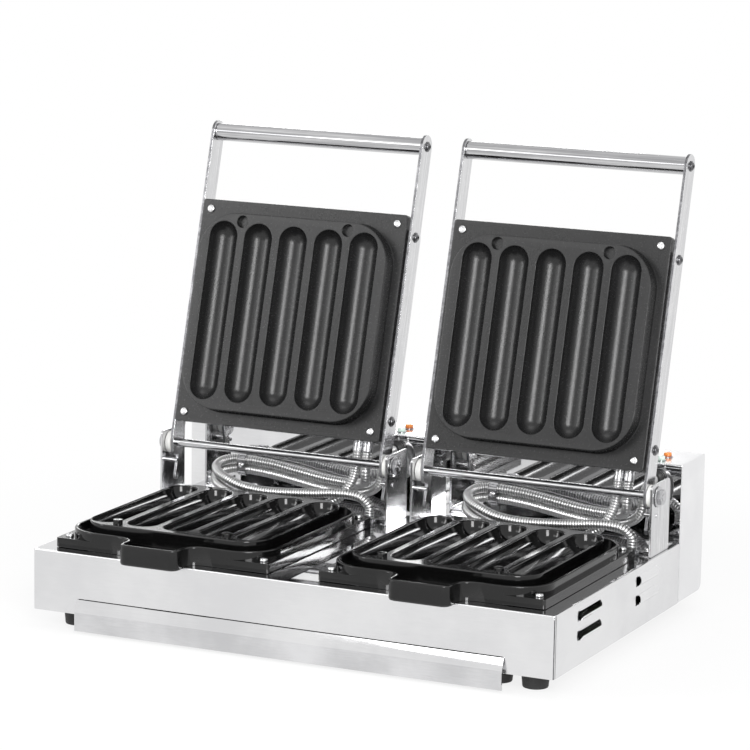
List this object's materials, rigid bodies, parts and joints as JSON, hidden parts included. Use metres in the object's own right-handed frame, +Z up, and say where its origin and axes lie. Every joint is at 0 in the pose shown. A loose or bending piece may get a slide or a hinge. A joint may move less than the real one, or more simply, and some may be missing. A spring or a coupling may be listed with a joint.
{
  "type": "hot dog waffle maker",
  "caption": "Countertop hot dog waffle maker: polished steel case, hinged upper plates with half-round moulds, bar handles, ribbed conduits and a pull-out crumb tray.",
  "frame": {"origin": "middle of the footprint, on the worktop under the feet", "axes": "+Z up, -Y towards the user, +X to the user's right"},
  "size_m": [0.5876, 0.445, 0.49],
  "materials": {
    "case_steel": "polished stainless sheet",
    "bright_steel": "bright polished steel",
    "conduit_steel": "interlocked metal strip",
    "lower_casting": "glossy black non-stick coating",
    "upper_casting": "satin charcoal non-stick coating",
    "foot_rubber": "moulded black rubber",
    "gland_black": "moulded black nylon",
    "spacer_white": "machined white plastic",
    "element_sheath": "heat-stained steel sheath",
    "knob_black": "moulded black plastic",
    "thermostat_body": "ceramic body",
    "amber_lens": "clear orange lens",
    "green_lens": "clear pale green lens"
  },
  "bodies": {
    "base": {"base_casing": "case_steel", "floor_panel": "case_steel", "foot_front_left": "foot_rubber", "foot_front_right": "foot_rubber", "foot_inner_left": "foot_rubber", "foot_inner_right": "foot_rubber", "foot_rear_left": "foot_rubber", "foot_rear_right": "foot_rubber", "control_box": "case_steel", "rear_panel": "case_steel", "mains_gland": "gland_black", "heating_lamp_left": "amber_lens", "power_lamp_left": "green_lens", "thermostat_left": "thermostat_body", "lower_plate_left": "lower_casting", "lower_element_left": "element_sheath", "upright_left_a": "bright_steel", "upright_left_b": "bright_steel", "spacer_left_a": "spacer_white", "spacer_left_b": "spacer_white", "hinge_shaft_left": "bright_steel", "deck_gland_left": "bright_steel", "box_gland_left": "bright_steel", "conduit_left_a": "conduit_steel", "conduit_left_b": "conduit_steel", "conduit_clip_left": "bright_steel", "heating_lamp_right": "amber_lens", "power_lamp_right": "green_lens", "thermostat_right": "thermostat_body", "lower_plate_right": "lower_casting", "lower_element_right": "element_sheath", "upright_right_a": "bright_steel", "upright_right_b": "bright_steel", "spacer_right_a": "spacer_white", "spacer_right_b": "spacer_white", "hinge_shaft_right": "bright_steel", "deck_gland_right": "bright_steel", "box_gland_right": "bright_steel", "conduit_right_a": "conduit_steel", "conduit_right_b": "conduit_steel", "conduit_clip_right": "bright_steel"},
    "head_left": {"upper_plate_left": "upper_casting", "upper_element_left": "element_sheath", "heater_cover_left": "case_steel", "arm_left_a": "bright_steel", "arm_left_b": "bright_steel", "handle_left": "bright_steel", "head_gland_left": "bright_steel"},
    "head_right": {"upper_plate_right": "upper_casting", "upper_element_right": "element_sheath", "heater_cover_right": "case_steel", "arm_right_a": "bright_steel", "arm_right_b": "bright_steel", "handle_right": "bright_steel", "head_gland_right": "bright_steel"},
    "tray": {"crumb_tray": "case_steel"},
    "knob_left": {"thermostat_knob_left": "knob_black"},
    "knob_right": {"thermostat_knob_right": "knob_black"}
  },
  "joints": [
    {"name": "head_left_hinge", "type": "hinge", "parent": "base", "child": "head_left", "pos_m": [-0.15, 0.0765, 0.145], "axis": [1, 0, 0], "range_deg": [0, 105.5], "deforming": ["conduit_left_a", "conduit_left_b"]},
    {"name": "head_right_hinge", "type": "hinge", "parent": "base", "child": "head_right", "pos_m": [0.15, 0.0765, 0.145], "axis": [1, 0, 0], "range_deg": [0, 105.5], "deforming": ["conduit_right_a", "conduit_right_b"]},
    {"name": "tray_slide", "type": "slide", "parent": "base", "child": "tray", "axis": [0, -1, 0], "range_m": [0, 0.25]},
    {"name": "knob_left_turn", "type": "hinge", "parent": "base", "child": "knob_left", "pos_m": [-0.11, 0.173, 0.167], "axis": [0, 0, -1], "range_deg": [0, 270]},
    {"name": "knob_right_turn", "type": "hinge", "parent": "base", "child": "knob_right", "pos_m": [0.19, 0.173, 0.167], "axis": [0, 0, -1], "range_deg": [0, 270]}
  ]
}
